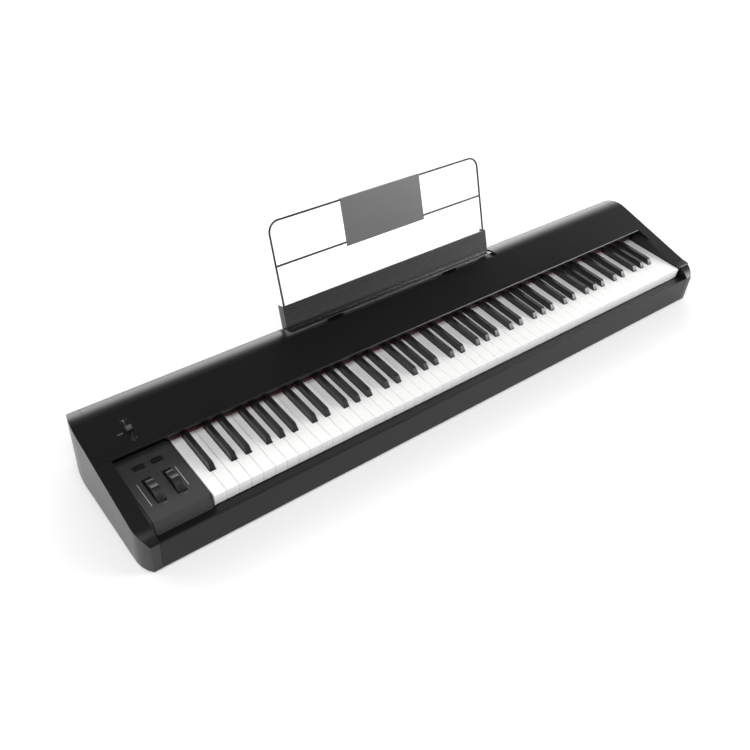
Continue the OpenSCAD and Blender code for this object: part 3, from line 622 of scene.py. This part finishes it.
def addMarks():
    bm = bmesh.new()
    half = marks["thick"] / 2
    for middle, (out, front, back) in ((pitchMiddle, marks["pitchLine"]), (modMiddle, marks["modLine"])):
        centre = (middle.x + out, middle.y + (front + back) / 2, panelTop + half)
        addBlock(bm, centre, (marks["lineWidth"], back - front, marks["thick"]), marks["rounding"])
    makeObject(bm, "panel.lines", "markPaint", "case", "panel_plastic")
    bm = bmesh.new()
    for middle in (pitchMiddle, modMiddle):
        for i in range(2):
            place = (middle.x + marks["dashStart"] + i * marks["dashStep"], middle.y + marks["dashFront"],
                panelTop + half)
            addBlock(bm, place, (*marks["dash"], marks["thick"]), marks["rounding"])
    makeObject(bm, "panel.dashes", "dimPaint", "case", "panel_plastic")


addMarks()
slideAxis = [j for j in frame["joints"] if j["name"] == "volume_slide"][0]["axis"]
slope = math.atan2(slideAxis[2], slideAxis[1])
coverVerts = [v.co for v in nodes["top_cover"].data.vertices]
coverEdge = max((v for v in coverVerts if v.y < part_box("top_cover")[0].y + 0.0015), key=lambda v: v.z)


def onSlope(x, y, across, along, up):
    # a spot on the sloping top, offset by across, along and up in the slope's own frame
    turn = Matrix.Rotation(slope, 4, "X")
    foot = Vector((x, y, coverEdge.z + (y - coverEdge.y) * math.tan(slope)))
    return foot + turn @ Vector((across, along, up)), turn


sliderMarks = dict(shift=-1.5 * mm, tick=(1.9 * mm, 0.5 * mm), tickOut=4.4 * mm,
    tickRows=(-22 * mm, -19 * mm, 19 * mm, 22 * mm), label=(2.4 * mm, 1.6 * mm), labelOut=-20 * mm,
    labelAlong=-3 * mm, labelStep=3.4 * mm, ribCentre=0.9 * mm, ribStep=1.7 * mm, ribUp=6.15 * mm,
    rib=(10.4 * mm, 0.7 * mm, 0.9 * mm))


def addSliderMarks():
    facts = sliderMarks
    low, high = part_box("slider_body")
    x, y = (low.x + high.x) / 2, (low.y + high.y) / 2 + facts["shift"]
    half = marks["thick"] / 2
    bm = bmesh.new()
    for side in (-1, 1):
        for along in facts["tickRows"]:
            place, turn = onSlope(x, y, side * facts["tickOut"], along, half)
            addBlock(bm, place, (*facts["tick"], marks["thick"]), marks["rounding"], turn)
    makeObject(bm, "slider.ticks", "dimPaint", "case", "case_plastic")
    bm = bmesh.new()
    for i in range(3):
        place, turn = onSlope(x, y, facts["labelOut"] + i * facts["labelStep"], facts["labelAlong"], half)
        addBlock(bm, place, (*facts["label"], marks["thick"]), marks["rounding"], turn)
    makeObject(bm, "slider.label", "dimPaint", "case", "case_plastic")
    low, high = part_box("slider_cap")
    bm = bmesh.new()
    centre = Vector(((low.x + high.x) / 2, (low.y + high.y) / 2, 0))
    for i in range(-2, 3):
        along = facts["ribCentre"] + i * facts["ribStep"]
        place, turn = onSlope(centre.x, centre.y, 0, along, facts["ribUp"])
        addBlock(bm, place, facts["rib"], 0.2 * mm, turn)
    # the cap's ribs in the same lighter grey as the wheel ridges
    makeObject(bm, "slider_cap.grip", "ridgeHighlightGrey", nodes["slider_cap"]["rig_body"], "control_plastic")


addSliderMarks()
sockets = {m["name"]: Vector(m["pos_m"]) for m in frame["record"]["mounts"]}
facingBack = Matrix.Rotation(math.radians(-90), 4, "X")


# turned outlines are (radius, height) pairs in millimetres
ports = dict(
    nut=((5.3, 0), (7.0, 0), (7.0, 1.2), (6.6, 1.6), (5.6, 1.6), (5.3, 1.3), (5.3, 0)),
    thread=((5.0, 0), (5.25, 0.12), (5.0, 0.3)), threadStart=1.7, threadPitch=0.5, threads=3,
    pin=((0, 0), (0.7, 0), (0.7, 7), (0.4, 7.6), (0, 7.8)), pins=5, pinCircle=5 * mm, pinDeep=9 * mm,
    tongue=(5 * mm, 9 * mm, 2.6 * mm), tongueDeep=6 * mm,
    ring=((2.2, 0), (2.9, 0), (2.9, 0.35), (2.2, 0.35), (2.2, 0)), ringSunk=0.2 * mm,
)


def inMetres(profile, lift=0):
    return [(r * mm, (h + lift) * mm) for r, h in profile]


def addSocketDetails():
    # threaded collars and nuts round the jacks, pins and tongue in the sockets
    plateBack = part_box("jack_plate")[1].y
    bm = bmesh.new()
    for name, place in sockets.items():
        if name.startswith("pedal_jack"):
            centre = (place.x, plateBack, place.z)
            addTurned(bm, inMetres(ports["nut"]), centre, facingBack, 6)
            for ring in range(ports["threads"]):
                lift = ports["threadStart"] + ring * ports["threadPitch"]
                addTurned(bm, inMetres(ports["thread"], lift), centre, facingBack)
    makeObject(bm, "pedal_jacks.nuts", "bareSteel", "case", "steel")
    bm = bmesh.new()
    din = sockets["midi_port"]
    for i in range(ports["pins"]):
        angle = math.radians(180 + 45 * i)
        centre = (din.x + ports["pinCircle"] * math.cos(angle), din.y - ports["pinDeep"],
            din.z + ports["pinCircle"] * math.sin(angle))
        addTurned(bm, inMetres(ports["pin"]), centre, facingBack, 16)
    usb = sockets["usb_port"]
    addBlock(bm, (usb.x, usb.y - ports["tongueDeep"], usb.z), ports["tongue"], 0.3 * mm)
    makeObject(bm, "ports.pins", "contactBrass", "case", "steel")
    low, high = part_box("power_button")
    centre = ((low.x + high.x) / 2, high.y - ports["ringSunk"], (low.z + high.z) / 2)
    bm = bmesh.new()
    addTurned(bm, inMetres(ports["ring"]), centre, facingBack)
    makeObject(bm, "power_button.ring", "markPaint", nodes["power_button"]["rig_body"], "control_plastic")


addSocketDetails()


treads = dict(footRadius=11 * mm, rings=(9.0, 6.0), outline=((-0.5, 0.25), (0, 0.02), (0.5, 0.25)))


def addFootRings():
    bm = bmesh.new()
    low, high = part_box("feet")
    radius = treads["footRadius"]
    xs = (low.x + radius, (low.x + high.x) / 2, high.x - radius)
    for x in xs:
        for y in (low.y + radius, high.y - radius):
            for ring in treads["rings"]:
                addTurned(bm, inMetres((ring + r, h) for r, h in treads["outline"]), (x, y, 0))
    makeObject(bm, "feet.treads", "footRubber", "case", "rubber")


addFootRings()
print("controls and rest done")

cadFinishes = dict(
    bareSteel=["key_frame", "key_pivot_rail", "hammer_rod", "wheel_bracket", "wheel_axle", "pitch_spring",
        "slider_body", "usb_port"],
    redFelt=["felt_strip"],
    greyFelt=["front_stop_felt"],
    circuitBoard=["contact_board", "main_board", "panel_board"],
    panelPlastic=["jack_plate"],
    controlPlastic=["power_button", "dc_inlet", "midi_port", "pedal_jacks"],
    footRubber=["feet", "contact_strip"],
    darkScrew=["case_screws"],
    hammerIron=[n for n in nodes if n.startswith("hammer_") and n != "hammer_rod"],
)
for material, names in cadFinishes.items():
    for name in names:
        mesh = nodes[name].data
        mesh.materials.clear()
        mesh.materials.append(finish[material])
print("inner pieces done")
